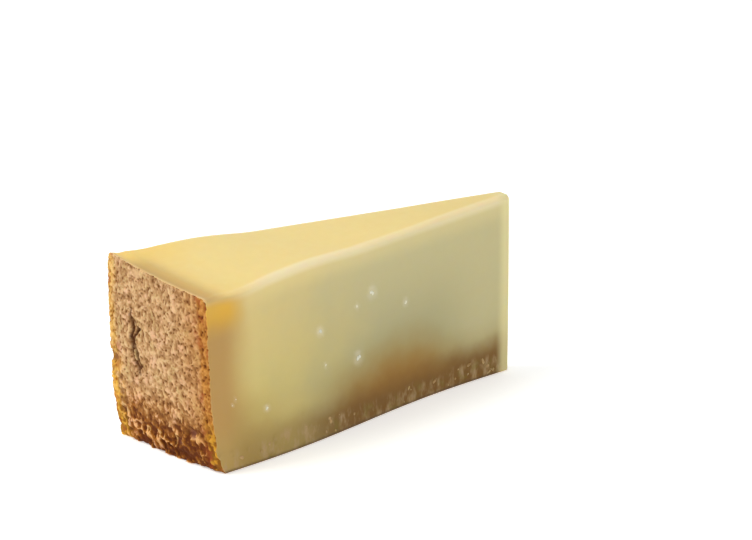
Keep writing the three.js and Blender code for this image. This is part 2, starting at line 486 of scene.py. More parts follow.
class Nodes:
    """Adds and joins nodes in one tree."""

    def __init__(self, tree: bpy.types.NodeTree) -> None:
        """Keeps the tree.

        Args:
            tree: The node tree to add to.
        """
        self.tree = tree

    def add(self, kind: str, inputs: dict | None = None, **settings: object) -> bpy.types.Node:
        """Adds a node.

        Args:
            kind: The node's type, without the word ShaderNode.
            inputs: What its inputs get: values, or sockets that are joined to them.
            settings: The node's own properties.

        Returns:
            The new node.
        """
        node = self.tree.nodes.new("ShaderNode" + kind)
        for name, value in settings.items():
            setattr(node, name, value)
        for key, value in (inputs or {}).items():
            self.feed(node.inputs[key], value)
        return node

    def feed(self, socket: bpy.types.NodeSocket, value: object) -> None:
        """Gives an input a value, or joins an output to it.

        Args:
            socket: The input.
            value: A number, a colour, a vector or an output socket.
        """
        if isinstance(value, bpy.types.NodeSocket):
            self.tree.links.new(value, socket)
        else:
            socket.default_value = value

    def place(self) -> bpy.types.NodeSocket:
        """Object coordinates."""
        return self.add("TexCoord").outputs["Object"]

    def attribute(self, name: str) -> bpy.types.NodeSocket:
        """The number that a mesh attribute holds."""
        return self.add("Attribute", attribute_name=name).outputs["Fac"]

    def math(self, operation: str, *values: object, clamp: bool = False) -> bpy.types.NodeSocket:
        """A sum of numbers or sockets.

        Args:
            operation: Name of the operation.
            values: What it works on.
            clamp: Whether the result stays between 0 and 1.

        Returns:
            The result.
        """
        inputs = dict(enumerate(values))
        return self.add("Math", inputs, operation=operation, use_clamp=clamp).outputs[0]

    def product(self, *values: object) -> bpy.types.NodeSocket:
        """Multiplies numbers or sockets.

        Args:
            values: The factors.

        Returns:
            Their product.
        """
        result = values[0]
        for value in values[1:]:
            result = self.math("MULTIPLY", result, value)
        return result

    def sway(self, value: object, by: object, reach: float) -> bpy.types.NodeSocket:
        """Shifts a value by another one times a reach."""
        return self.math("ADD", value, self.product(by, reach))

    def axes(self, vector: bpy.types.NodeSocket) -> list[bpy.types.NodeSocket]:
        """The three parts of a vector."""
        return list(self.add("SeparateXYZ", {"Vector": vector}).outputs)

    def stretched(self, vector: bpy.types.NodeSocket, scale: tuple) -> bpy.types.NodeSocket:
        """A vector with each of its parts scaled."""
        return self.add("Mapping", {"Vector": vector, "Scale": scale}).outputs[0]

    def spread(self, value: object, low: float, high: float, start: float = 0.0,
               end: float = 1.0) -> bpy.types.NodeSocket:
        """Maps a value smoothly from one range to another.

        Args:
            value: The value to map.
            low: Where the range starts.
            high: Where it ends.
            start: What low becomes.
            end: What high becomes.

        Returns:
            The mapped value.
        """
        inputs = {"Value": value, "From Min": low, "From Max": high, "To Min": start, "To Max": end}
        return self.add("MapRange", inputs, interpolation_type="SMOOTHSTEP").outputs["Result"]

    def mix(self, share: object, first: object, second: object, blend: str = "MIX") -> bpy.types.NodeSocket:
        """Mixes two colours.

        Args:
            share: Share of the second colour.
            first: The first colour.
            second: The second colour.
            blend: The blend mode.

        Returns:
            The mixed colour.
        """
        node = self.add("Mix", data_type="RGBA", blend_type=blend)
        self.feed(node.inputs[0], share)
        self.feed(node.inputs[6], first)
        self.feed(node.inputs[7], second)
        return node.outputs[2]

    def ramp(self, value: bpy.types.NodeSocket, stops: list[tuple[float, tuple]]) -> bpy.types.NodeSocket:
        """A colour ramp.

        Args:
            value: Where the ramp is read, from 0 to 1.
            stops: Places on the ramp and their colours.

        Returns:
            The ramp's colour.
        """
        node = self.add("ValToRGB", {"Fac": value})
        elements = node.color_ramp.elements
        while len(elements) < len(stops):
            elements.new(0.5)
        for element, (position, colour) in zip(elements, stops):
            element.position = position
            element.color = colour
        return node.outputs["Color"]

    def noise(self, place: object, scale: object, detail: float = 2.0,
              roughness: float = 0.5) -> bpy.types.NodeSocket:
        """Noise between about 0 and 1.

        Args:
            place: Where it is read.
            scale: Its cells to a metre.
            detail: How many finer layers it has.
            roughness: How strong those are.

        Returns:
            The noise.
        """
        inputs = {"Vector": place, "Scale": scale, "Detail": detail, "Roughness": roughness}
        return self.add("TexNoise", inputs).outputs["Fac"]

    def bump(self, height: bpy.types.NodeSocket, strength: float, depth: float,
             normal: bpy.types.NodeSocket | None = None) -> bpy.types.NodeSocket:
        """A bump.

        Args:
            height: The height, from 0 to 1.
            strength: How strong it shows.
            depth: Its depth in metres.
            normal: A normal that it adds to.

        Returns:
            The new normal.
        """
        inputs = {"Height": height, "Strength": strength, "Distance": depth}
        if normal is not None:
            inputs["Normal"] = normal
        return self.add("Bump", inputs).outputs["Normal"]

    def group(self, tree: bpy.types.NodeTree, inputs: dict) -> bpy.types.Node:
        """Places a node group.

        Args:
            tree: The group's tree.
            inputs: What its inputs get.

        Returns:
            The group's node.
        """
        node = self.tree.nodes.new("ShaderNodeGroup")
        node.node_tree = tree
        for key, value in inputs.items():
            self.feed(node.inputs[key], value)
        return node


class SharedEffects:
    """The shader groups that more than one finish uses, each built once."""

    def __init__(self) -> None:
        """Builds the groups."""
        self.mottle = self._mottle()
        self.waxy_grain = self._waxy_grain()

    def patches(self, nodes: Nodes, place: object, scale: float, contrast: float) -> bpy.types.NodeSocket:
        """Places the mottle in a material, with its cells to a metre and its contrast."""
        return nodes.group(self.mottle, {"Place": place, "Scale": scale, "Contrast": contrast}).outputs[0]

    def curd(self, nodes: Nodes, place: object, scale: float, pores: float) -> bpy.types.NodeSocket:
        """Places the waxy grain in a material, with its cells to a metre and the depth of its pores."""
        return nodes.group(self.waxy_grain, {"Place": place, "Scale": scale, "Pores": pores}).outputs[0]

    @staticmethod
    def _start(name: str, inputs: dict[str, float], outputs: dict[str, str]) -> tuple[Nodes, dict, dict]:
        """Starts a group that reads a place and some numbers.

        Args:
            name: The group's name.
            inputs: Names of its number inputs, with their usual values.
            outputs: Names of its outputs, with their socket types.

        Returns:
            Its nodes, its inputs as sockets, and its output node's sockets, by name.
        """
        tree = bpy.data.node_groups.new(name, "ShaderNodeTree")
        tree.interface.new_socket(name="Place", in_out="INPUT", socket_type="NodeSocketVector")
        for key, usual in inputs.items():
            socket = tree.interface.new_socket(name=key, in_out="INPUT", socket_type="NodeSocketFloat")
            socket.default_value = usual
        for key, kind in outputs.items():
            tree.interface.new_socket(name=key, in_out="OUTPUT", socket_type=kind)
        source = tree.nodes.new("NodeGroupInput")
        end = tree.nodes.new("NodeGroupOutput")
        read = {socket.name: socket for socket in source.outputs if socket.name}
        written = {socket.name: socket for socket in end.inputs if socket.name}
        return Nodes(tree), read, written

    def _mottle(self) -> bpy.types.NodeTree:
        """Soft uneven patches, as a value around 0.5."""
        nodes, read, written = self._start(
            "mottle", {"Scale": 40.0, "Contrast": 1.0}, {"Value": "NodeSocketFloat"})
        broad = nodes.noise(read["Place"], read["Scale"], 3.0, 0.55)
        away = nodes.math("SUBTRACT", broad, 0.5)
        stronger = nodes.product(away, read["Contrast"])
        nodes.feed(written["Value"], nodes.math("ADD", stronger, 0.5, clamp=True))
        return nodes.tree

    def _waxy_grain(self) -> bpy.types.NodeTree:
        """The fine unevenness of pressed curd, as a height."""
        nodes, read, written = self._start(
            "waxy grain", {"Scale": 600.0, "Pores": 0.3}, {"Height": "NodeSocketFloat"})
        grain = nodes.noise(read["Place"], read["Scale"], 4.0, 0.6)
        pore = nodes.add("TexVoronoi", {"Vector": read["Place"], "Scale": read["Scale"]})
        hole = nodes.spread(pore.outputs["Distance"], 0.0, 0.35)
        sunk = nodes.product(nodes.math("SUBTRACT", 1.0, hole), read["Pores"])
        nodes.feed(written["Height"], nodes.math("SUBTRACT", grain, sunk))
        return nodes.tree


# Finishes

class Reading(Enum):
    """What a coat of colour may hang on. Distances on the mesh are in mm, heights and places in metres."""

    ACROSS = "place across the wedge"
    HEIGHT = "height above the floor"
    LOW = "height above an uneven line"
    LIFTED = "the same, with the line lifted towards the tip"
    TOP = "1 on the top and 0 on the sides"
    FACE = "1 on the sides and 0 on the top"
    DEPTH = "distance behind the rind"
    INWARD = "that distance, in broad patches"
    BESIDE = "that distance, in slight patches"
    EDGE = "distance from the edge of the cut"
    TIP = "distance from the tip"
    FINE = "fine mottling"
    STREAKS = "upright streaks"
    MOSS = "small clouds"
    BLOOM = "whiteness round the crystals"
    CREST = "nearness to a crest of the rind"
    TINTS = "tinted patches of the rind"
    SUNNY = "yellow patches of the rind"
    HOLLOW = "broken-out places"
    CRACK = "the crack"
    BREAKS = "noise that breaks the crack up"


@dataclass(frozen=True)
class Fade:
    """A share that changes smoothly with a reading, from start where it is low to end where it is high."""

    reading: Reading
    low: float
    high: float
    start: float = 0.0
    end: float = 1.0


@dataclass(frozen=True)
class Coat:
    """A colour laid over what is there, as thick as its fades, masks and strength multiplied."""

    colour: tuple
    fades: tuple[Fade, ...] = ()
    masks: tuple[Reading, ...] = ()
    strength: float = 1.0


@dataclass(frozen=True)
class Surface:
    """A material's nodes, with the readings that its coats hang on as sockets."""

    nodes: Nodes
    read: dict[Reading, bpy.types.NodeSocket]

    def share(self, *fades: Fade, masks: tuple[Reading, ...] = (),
              strength: float = 1.0) -> bpy.types.NodeSocket:
        """Multiplies fades, masks and a strength.

        Args:
            fades: Shares that change with a reading.
            masks: Readings that are shares themselves.
            strength: A share that is the same everywhere.

        Returns:
            The product.
        """
        factors = [self.read[mask] for mask in masks]
        for fade in fades:
            value = self.read[fade.reading]
            factors.append(self.nodes.spread(value, fade.low, fade.high, fade.start, fade.end))
        if strength != 1.0:
            factors.append(strength)
        return self.nodes.product(*factors)

    def lay(self, colour: object, *coats: Coat) -> bpy.types.NodeSocket:
        """Lays coats over a colour, one after another.

        Args:
            colour: The colour so far.
            coats: The coats, lowest first.

        Returns:
            The new colour.
        """
        for coat in coats:
            share = self.share(*coat.fades, masks=coat.masks, strength=coat.strength)
            colour = self.nodes.mix(share, colour, coat.colour)
        return colour


@dataclass(frozen=True)
class Grain:
    """The fine grain of a surface: its cells to a metre, its pores, and how strong and deep it is."""

    scale: float
    pores: float
    strength: float
    depth: float

    def normal(self, nodes: Nodes, effects: SharedEffects, place: bpy.types.NodeSocket,
               under: bpy.types.NodeSocket | None = None) -> bpy.types.NodeSocket:
        """Bumps a surface.

        Args:
            nodes: The material's nodes.
            effects: The shared shader groups.
            place: Where the grain is read.
            under: A normal that it adds to.

        Returns:
            The new normal.
        """
        height = effects.curd(nodes, place, self.scale, self.pores)
        return nodes.bump(height, self.strength, self.depth, under)


@dataclass(frozen=True)
class LightInside:
    """How a surface lets light in and out again: its share, its reach in metres, and each colour's."""

    weight: float
    reach: float
    colours: tuple[float, float, float]

    def set_on(self, shader: bpy.types.Node) -> None:
        """Sets it on a shader node.

        Args:
            shader: The shader node.
        """
        shader.inputs["Subsurface Weight"].default_value = self.weight
        shader.inputs["Subsurface Scale"].default_value = self.reach
        shader.inputs["Subsurface Radius"].default_value = self.colours


def start_material(name: str, roughness: float) -> tuple[bpy.types.Material, Nodes, bpy.types.Node]:
    """Starts a material with an empty shader.

    Args:
        name: The material's name.
        roughness: Its usual roughness.

    Returns:
        The material, its nodes, and its shader node.
    """
    material = bpy.data.materials.new(name)
    material.use_nodes = True
    nodes = Nodes(material.node_tree)
    shader = material.node_tree.nodes["Principled BSDF"]
    shader.inputs["Roughness"].default_value = roughness
    return material, nodes, shader


@dataclass(frozen=True)
class PasteFinish:
    """Pressed cheese paste: straw by the heel, khaki towards the tip, and butter yellow on top. Part of its
    colour is painted light and shade: the lighter top, the sides darkening towards the tip and the foot, a
    painted glow, a painted highlight and a lit band along the top edges, and a paler tip that glows.
    """

    straw: tuple = srgb(217, 196, 131)
    deep_straw: tuple = srgb(206, 190, 116)
    khaki: tuple = srgb(194, 185, 138)
    deep_khaki: tuple = srgb(163, 158, 117)
    butter: tuple = srgb(239, 214, 140)
    tan: tuple = srgb(184, 146, 82)
    # The deep straw and khaki low down and the khaki towards the tip darken the sides towards the foot and
    # the tip: partly the paste's own colour, partly painted shade.
    low_down: tuple[Fade, ...] = (
        Fade(Reading.HEIGHT, 0.100, 0.030, 0.0, 0.85),
        Fade(Reading.DEPTH, 235.0, 185.0, 0.2, 1.0),
    )
    towards_tip: Fade = Fade(Reading.INWARD, 20.0, 150.0)

    on_top: tuple[Coat, ...] = (
        Coat(srgb(241, 207, 120), (Fade(Reading.INWARD, 50.0, 10.0, 0.0, 0.6),)),
        # Duller straw on the top towards the tip: painted shade.
        Coat(straw, (Fade(Reading.INWARD, 150.0, 230.0, 0.0, 0.35),)),
        # Saturated yellow along the top's left edge near the heel: painted glow of light shining through that
        # edge.
        Coat(srgb(244, 206, 108), (
            Fade(Reading.DEPTH, 75.0, 12.0),
            Fade(Reading.ACROSS, 0.008, 0.040, 0.0, 0.6))),
        # Darker tan on the top just behind the rind: partly browner paste there, partly painted shade of the
        # dip behind the rim.
        Coat(srgb(202, 164, 96), (
            Fade(Reading.DEPTH, 22.0, 3.0),
            Fade(Reading.ACROSS, 0.040, 0.015))),
    )

    tanned: Coat = Coat(tan, (
        Fade(Reading.BESIDE, 38.0, 9.0),
        Fade(Reading.EDGE, 0.0, 7.0, 0.3, 1.0),
        Fade(Reading.HEIGHT, 0.008, 0.030, 0.6, 1.0)), (Reading.FACE,))
    # Golden band high on the cut face beside the rind: partly the paste's golden colour under the rind,
    # partly painted glow of light through the paste.
    golden: Coat = Coat(srgb(221, 171, 46), (
        Fade(Reading.BESIDE, 34.0, 16.0),
        Fade(Reading.DEPTH, 1.0, 14.0, 0.8, 0.95),
        Fade(Reading.HEIGHT, 0.078, 0.097),
        Fade(Reading.ACROSS, -0.01, 0.01, 1.0, 0.45),
        Fade(Reading.EDGE, 0.0, 7.0, 0.3, 1.0)), (Reading.FACE,))
    rim: Coat = Coat(srgb(220, 184, 124), (Fade(Reading.DEPTH, 2.6, 1.2),), (Reading.TOP,))

    # Ochre, tawny and brown low on the cut faces: partly the paste's own browning above the bottom rind,
    # partly painted shade, which is why they grow with the distance behind the rind.
    browning_and_shade: tuple[Fade, ...] = (
        Fade(Reading.DEPTH, 52.0, 120.0),
        Fade(Reading.DEPTH, 230.0, 165.0, 0.6, 1.0),
    )
    in_band: Fade = Fade(Reading.LOW, 0.0150, 0.0085)
    shade: Coat = Coat(srgb(166, 138, 72), (
        Fade(Reading.LOW, 0.052, 0.016),
        Fade(Reading.DEPTH, 80.0, 24.0, 0.0, 0.72),
        Fade(Reading.DEPTH, 6.0, 22.0, 0.15, 1.0)))
    ochre: Coat = Coat(srgb(162, 141, 82), (Fade(Reading.LIFTED, 0.047, 0.020), *browning_and_shade))
    tawny: Coat = Coat(srgb(150, 108, 32), (
        Fade(Reading.LIFTED, 0.030, 0.010),
        Fade(Reading.DEPTH, 75.0, 140.0), *browning_and_shade))
    foot: Coat = Coat(srgb(118, 80, 10), (
        Fade(Reading.LOW, 0.028, 0.010),
        Fade(Reading.DEPTH, 10.0, 130.0, 0.25, 0.95)))
    crumbly: Coat = Coat(srgb(178, 150, 106), (Fade(Reading.STREAKS, 0.44, 0.70, 0.0, 0.8), in_band))
    mossy: Coat = Coat(srgb(124, 106, 30), (Fade(Reading.MOSS, 0.52, 0.70, 0.0, 0.6), in_band))
    # A dark line along the foot of the faces: painted contact shadow.
    contact_shadow: Coat = Coat(srgb(74, 54, 22), (Fade(Reading.HEIGHT, 0.0028, 0.0004, 0.0, 0.85),))

    off_heel: tuple[Fade, ...] = (
        Fade(Reading.DEPTH, 14.0, 60.0, 0.15, 1.0),
        Fade(Reading.DEPTH, 70.0, 190.0, 1.0, 0.7),
    )
    # A lighter band under the top edge of the faces: painted light.
    lit_band_under_edge: Coat = Coat(srgb(238, 218, 150), (
        Fade(Reading.EDGE, 17.0, 4.0, 0.0, 0.46), *off_heel), (Reading.FACE,))
    # A pale cream line along the rounded top edges: painted highlight.
    edge_highlight: Coat = Coat(srgb(250, 238, 204), (Fade(Reading.EDGE, 6.2, 0.8, 0.0, 0.78), *off_heel))
    # Paler paste near the tip: painted glow of light shining through the thin tip.
    tip_glow: Coat = Coat(srgb(226, 216, 160), (Fade(Reading.TIP, 13.0, 5.0, 0.0, 0.7),))
    mottling: Coat = Coat(tan, masks=(Reading.FINE,), strength=0.06)
    crystal: Coat = Coat(srgb(250, 248, 238), masks=(Reading.BLOOM,))

    top_slope: tuple[float, float] = (0.1, 0.8)
    broad_patches: tuple[float, float] = (22.0, 1.6)
    fine_patches: tuple[float, float] = (160.0, 1.0)
    inward_sway: float = 60.0
    beside_sway: float = 9.0
    low_sway: float = 0.012
    # The browned line is lifted further behind the rind and falls again towards the tip: painted shade where
    # it is lifted.
    lift: Fade = Fade(Reading.DEPTH, 80.0, 165.0, 0.0, 0.011)
    drop: Fade = Fade(Reading.DEPTH, 165.0, 225.0, 0.0, 0.018)
    streak_stretch: tuple[float, float, float] = (170.0, 170.0, 80.0)
    drag_stretch: tuple[float, float, float] = (14.0, 14.0, 260.0)
    drag_strength: float = 0.25
    drag_depth: float = 0.3 * MM
    grain: Grain = Grain(700.0, 0.25, 0.3, 0.12 * MM)
    inside: LightInside = LightInside(0.9, 2.6 * MM, (1.0, 0.7, 0.35))
    roughness: float = 0.46
    roughness_range: tuple[float, float] = (0.40, 0.56)
    gloss: float = 0.22

    def surface(self, nodes: Nodes, effects: SharedEffects, place: bpy.types.NodeSocket) -> Surface:
        """Reads what the colour hangs on.

        Args:
            nodes: The material's nodes.
            effects: The shared shader groups.
            place: The place on the wedge.

        Returns:
            The readings, with the nodes.
        """
        _, across, height = nodes.axes(place)
        slope = nodes.axes(nodes.add("NewGeometry").outputs["Normal"])[2]
        top = nodes.spread(slope, *self.top_slope)
        depth = nodes.attribute("behind_rind")
        patchy = nodes.math("SUBTRACT", effects.patches(nodes, place, *self.broad_patches), 0.5)
        wander = nodes.math("SUBTRACT", nodes.noise(place, 45.0, 3.0), 0.5)
        upright = nodes.stretched(place, self.streak_stretch)
        surface = Surface(nodes, {
            Reading.ACROSS: across,
            Reading.HEIGHT: height,
            Reading.LOW: nodes.sway(height, wander, self.low_sway),
            Reading.TOP: top,
            Reading.FACE: nodes.math("SUBTRACT", 1.0, top),
            Reading.DEPTH: depth,
            Reading.INWARD: nodes.sway(depth, patchy, self.inward_sway),
            Reading.BESIDE: nodes.sway(depth, patchy, self.beside_sway),
            Reading.EDGE: nodes.attribute("from_edge"),
            Reading.TIP: nodes.attribute("from_tip"),
            Reading.FINE: effects.patches(nodes, place, *self.fine_patches),
            Reading.STREAKS: nodes.noise(upright, 1.0, 3.0, 0.6),
            Reading.MOSS: nodes.noise(place, 95.0, 2.0),
            Reading.BLOOM: nodes.attribute("bloom"),
        })
        lifted = nodes.math("SUBTRACT", surface.share(self.lift), surface.share(self.drop))
        surface.read[Reading.LIFTED] = nodes.math("SUBTRACT", surface.read[Reading.LOW], lifted)
        return surface

    def colour(self, surface: Surface) -> bpy.types.NodeSocket:
        """Colours the paste.

        Args:
            surface: The readings, with the nodes.

        Returns:
            The colour.
        """
        low_down = surface.share(*self.low_down)
        near_heel = surface.nodes.mix(low_down, self.straw, self.deep_straw)
        near_tip = surface.nodes.mix(low_down, self.khaki, self.deep_khaki)
        side = surface.nodes.mix(surface.share(self.towards_tip), near_heel, near_tip)
        top = surface.lay(self.butter, *self.on_top)
        # The top's butter is lighter than the sides' straw and khaki: partly the paste's own colour, partly
        # painted light from above on the top.
        colour = surface.nodes.mix(surface.read[Reading.TOP], side, top)
        colour = surface.lay(colour, self.tanned, self.golden, self.rim)
        colour = surface.lay(colour, self.shade, self.ochre, self.tawny, self.foot)
        colour = surface.lay(colour, self.crumbly, self.mossy, self.contact_shadow)
        colour = surface.lay(colour, self.lit_band_under_edge, self.edge_highlight, self.tip_glow)
        return surface.lay(colour, self.mottling, self.crystal)

    def material(self, effects: SharedEffects) -> bpy.types.Material:
        """Builds the material.

        Args:
            effects: The shared shader groups.

        Returns:
            The material.
        """
        material, nodes, shader = start_material("cut_paste", self.roughness)
        place = nodes.place()
        surface = self.surface(nodes, effects, place)
        nodes.feed(shader.inputs["Base Color"], self.colour(surface))
        drag = nodes.noise(nodes.stretched(place, self.drag_stretch), 1.0, 2.0)
        dragged = nodes.bump(drag, self.drag_strength, self.drag_depth)
        nodes.feed(shader.inputs["Normal"], self.grain.normal(nodes, effects, place, dragged))
        fine = surface.read[Reading.FINE]
        nodes.feed(shader.inputs["Roughness"], nodes.spread(fine, 0.0, 1.0, *self.roughness_range))
        shader.inputs["Specular IOR Level"].default_value = self.gloss
        self.inside.set_on(shader)
        return material


@dataclass(frozen=True)
class Tones:
    """Colours of rough rind, from the bottom of its pits to its crests, partly its own colour and partly
    painted shade in the pits and painted light on the crests.
    """

    pit: tuple
    flank: tuple
    crest: tuple
    stops: tuple[float, float, float, float] = (0.12, 0.33, 0.52, 0.85)

    def paint(self, nodes: Nodes, crest: bpy.types.NodeSocket) -> bpy.types.NodeSocket:
        """Colours a surface by its relief.

        Args:
            nodes: The material's nodes.
            crest: How near each place is to a crest.

        Returns:
            The colour.
        """
        middle = tuple((a + b) / 2 for a, b in zip(self.pit, self.flank))
        return nodes.ramp(crest, list(zip(self.stops, (self.pit, middle, self.flank, self.crest))))


@dataclass(frozen=True)
class RindFinish:
    """Brushed, craggy rind: beige crests over brown pits, rusty towards the foot, golden beside the cuts. The
    dark pits and light crests are partly painted shade and light, the left fringe is a lit copy of the shaded
    right one, and the yellow along the left edge is partly a painted glow.
    """

    # From pit to crest the ramps darken the hollows and lighten the crests: partly the rind's own colour,
    # partly painted shade and light.
    upper: Tones = Tones(srgb(114, 72, 36), srgb(176, 135, 90), srgb(212, 175, 129))
    lower: Tones = Tones(srgb(92, 44, 14), srgb(152, 92, 24), srgb(228, 175, 114))
    # Golden fringe beside the cuts, in a shaded copy for the right and a lit copy for the left: painted light
    # and shade.
    shaded_fringe: Tones = Tones(srgb(104, 52, 14), srgb(162, 104, 40), srgb(196, 138, 66))
    lit_fringe: Tones = Tones(srgb(140, 88, 28), srgb(200, 150, 66), srgb(230, 186, 100))
    at_foot: Fade = Fade(Reading.LOW, 0.050, 0.008)
    on_crests: Fade = Fade(Reading.CREST, 0.3, 0.7)
    pink: Coat = Coat(srgb(222, 174, 142), (Fade(Reading.TINTS, 0.55, 0.95), on_crests), strength=0.5)
    olive: Coat = Coat(srgb(180, 156, 98), (Fade(Reading.TINTS, 0.45, 0.05), on_crests), strength=0.5)

    fringe: Fade = Fade(Reading.EDGE, 7.0, 1.0, 0.0, 0.7)
    wide_fringe: tuple[Fade, ...] = (
        Fade(Reading.EDGE, 32.0, 4.0),
        Fade(Reading.ACROSS, 0.005, -0.03, 0.0, 0.55),
    )
    left_fringe: Fade = Fade(Reading.ACROSS, -0.01, 0.01)
    sunny_patches: tuple[Fade, ...] = (
        Fade(Reading.HEIGHT, 0.058, 0.044),
        Fade(Reading.TINTS, 0.35, 0.65, 0.0, 0.8),
    )
    sunny_foot: Fade = Fade(Reading.HEIGHT, 0.022, 0.010)

    # Yellow along the lower left edge of the rind: partly its own yellow patches, partly painted glow of
    # light shining through that edge.
    yellow: Coat = Coat(srgb(240, 186, 58), (
        Fade(Reading.ACROSS, 0.030, 0.043),
        Fade(Reading.CREST, 0.1, 0.6, 0.25, 0.8)), (Reading.SUNNY,))
    gold: Coat = Coat(srgb(204, 150, 40), (
        Fade(Reading.ACROSS, -0.036, -0.044),
        Fade(Reading.HEIGHT, 0.040, 0.014),
        Fade(Reading.CREST, 0.1, 0.5, 0.2, 0.85)))
    rust: Coat = Coat(srgb(150, 72, 34), (
        Fade(Reading.TINTS, 0.52, 0.82),
        Fade(Reading.EDGE, 11.0, 3.0)), strength=0.6)
    plum: Coat = Coat(srgb(128, 78, 62), masks=(Reading.HOLLOW,))
    crack: Coat = Coat(srgb(86, 46, 18), (Fade(Reading.BREAKS, 0.36, 0.56, 0.68, 1.0),), (Reading.CRACK,))

    speckling: tuple[float, float] = (1100.0, 1.2)
    speck_sway: float = 0.3
    patching: tuple[float, float] = (55.0, 1.8)
    tinting: tuple[float, float] = (120.0, 2.2)
    low_sway: float = 0.030
    edge_sway: float = -5.0
    foot_dulls: tuple[float, float, float, float] = (0.003, 0.014, 0.78, 1.0)
    grain: Grain = Grain(1500.0, 0.5, 0.6, 0.25 * MM)
    inside: LightInside = LightInside(0.2, 1.0 * MM, (1.0, 0.5, 0.25))
    roughness: float = 0.8
    roughness_range: tuple[float, float] = (0.9, 0.7)
    gloss: float = 0.12

    def surface(self, nodes: Nodes, effects: SharedEffects, place: bpy.types.NodeSocket) -> Surface:
        """Reads what the colour hangs on.

        Args:
            nodes: The material's nodes.
            effects: The shared shader groups.
            place: The place on the wedge.

        Returns:
            The readings, with the nodes.
        """
        _, across, height = nodes.axes(place)
        specks = nodes.math("SUBTRACT", effects.patches(nodes, place, *self.speckling), 0.5)
        speckled = nodes.product(specks, self.speck_sway)
        crest = nodes.math("ADD", nodes.attribute("crest"), speckled, clamp=True)
        patches = effects.patches(nodes, place, *self.patching)
        uneven = nodes.math("SUBTRACT", patches, 0.5)
        surface = Surface(nodes, {
            Reading.ACROSS: across,
            Reading.HEIGHT: height,
            Reading.LOW: nodes.sway(height, uneven, self.low_sway),
            Reading.EDGE: nodes.sway(nodes.attribute("from_cut"), patches, self.edge_sway),
            Reading.CREST: nodes.product(crest, nodes.spread(height, *self.foot_dulls)),
            Reading.TINTS: effects.patches(nodes, place, *self.tinting),
            Reading.HOLLOW: nodes.attribute("hollow"),
            Reading.CRACK: nodes.attribute("crack"),
            Reading.BREAKS: nodes.noise(place, 420.0, 2.0),
        })
        patchy, foot = surface.share(*self.sunny_patches), surface.share(self.sunny_foot)
        surface.read[Reading.SUNNY] = nodes.math("ADD", patchy, foot, clamp=True)
        return surface

    def colour(self, surface: Surface) -> bpy.types.NodeSocket:
        """Colours the rind.

        Args:
            surface: The readings, with the nodes.

        Returns:
            The colour.
        """
        nodes, crest = surface.nodes, surface.read[Reading.CREST]
        upper, lower = self.upper.paint(nodes, crest), self.lower.paint(nodes, crest)
        colour = nodes.mix(surface.share(self.at_foot), upper, lower)
        colour = surface.lay(colour, self.pink, self.olive)
        # The lit fringe on the left and the shaded one on the right: painted light and shade.
        dark, bright = self.shaded_fringe.paint(nodes, crest), self.lit_fringe.paint(nodes, crest)
        fringe = nodes.mix(surface.share(self.left_fringe), dark, bright)
        beside = nodes.math("ADD", surface.share(self.fringe), surface.share(*self.wide_fringe), clamp=True)
        colour = nodes.mix(beside, colour, fringe)
        return surface.lay(colour, self.yellow, self.gold, self.rust, self.plum, self.crack)

    def material(self, effects: SharedEffects) -> bpy.types.Material:
        """Builds the material.

        Args:
            effects: The shared shader groups.

        Returns:
            The material.
        """
        material, nodes, shader = start_material("craggy_rind", self.roughness)
        place = nodes.place()
        surface = self.surface(nodes, effects, place)
        nodes.feed(shader.inputs["Base Color"], self.colour(surface))
        nodes.feed(shader.inputs["Normal"], self.grain.normal(nodes, effects, place))
        crest = surface.read[Reading.CREST]
        nodes.feed(shader.inputs["Roughness"], nodes.spread(crest, 0.0, 1.0, *self.roughness_range))
        shader.inputs["Specular IOR Level"].default_value = self.gloss
        self.inside.set_on(shader)
        return material


@dataclass(frozen=True)
class UndersideFinish:
    """The smooth brown rind of the wheel's flat side, which the wedge stands on."""

    light: tuple = srgb(196, 152, 98)
    dark: tuple = srgb(146, 100, 56)
    patching: tuple[float, float] = (45.0, 2.0)
    fleck_scale: float = 220.0
    fleck_range: tuple[float, float, float, float] = (0.35, 0.1, 0.0, 0.5)
    grain: Grain = Grain(500.0, 0.6, 0.5, 0.4 * MM)
    roughness: float = 0.7
    roughness_range: tuple[float, float] = (0.78, 0.62)

    def material(self, effects: SharedEffects) -> bpy.types.Material:
        """Builds the material.

        Args:
            effects: The shared shader groups.

        Returns:
            The material.
        """
        material, nodes, shader = start_material("flat_rind", self.roughness)
        place = nodes.place()
        patches = effects.patches(nodes, place, *self.patching)
        colour = nodes.mix(patches, self.dark, self.light)
        cell = nodes.add("TexVoronoi", {"Vector": place, "Scale": self.fleck_scale})
        flecks = nodes.spread(cell.outputs["Distance"], *self.fleck_range)
        nodes.feed(shader.inputs["Base Color"], nodes.mix(flecks, colour, self.dark))
        nodes.feed(shader.inputs["Normal"], self.grain.normal(nodes, effects, place))
        nodes.feed(shader.inputs["Roughness"], nodes.spread(patches, 0.0, 1.0, *self.roughness_range))
        return material


@dataclass(frozen=True)
class ScrapFinish:
    """The finish of small scraps in the cut faces, in patches of two tones."""

    name: str
    dark: tuple
    light: tuple
    patching: tuple[float, float]
    grain: Grain
    inside: LightInside
    roughness: float

    def material(self, effects: SharedEffects) -> bpy.types.Material:
        """Builds the material.

        Args:
            effects: The shared shader groups.

        Returns:
            The material.
        """
        material, nodes, shader = start_material(self.name, self.roughness)
        place = nodes.place()
        patches = effects.patches(nodes, place, *self.patching)
        nodes.feed(shader.inputs["Base Color"], nodes.mix(patches, self.dark, self.light))
        nodes.feed(shader.inputs["Normal"], self.grain.normal(nodes, effects, place))
        self.inside.set_on(shader)
        return material


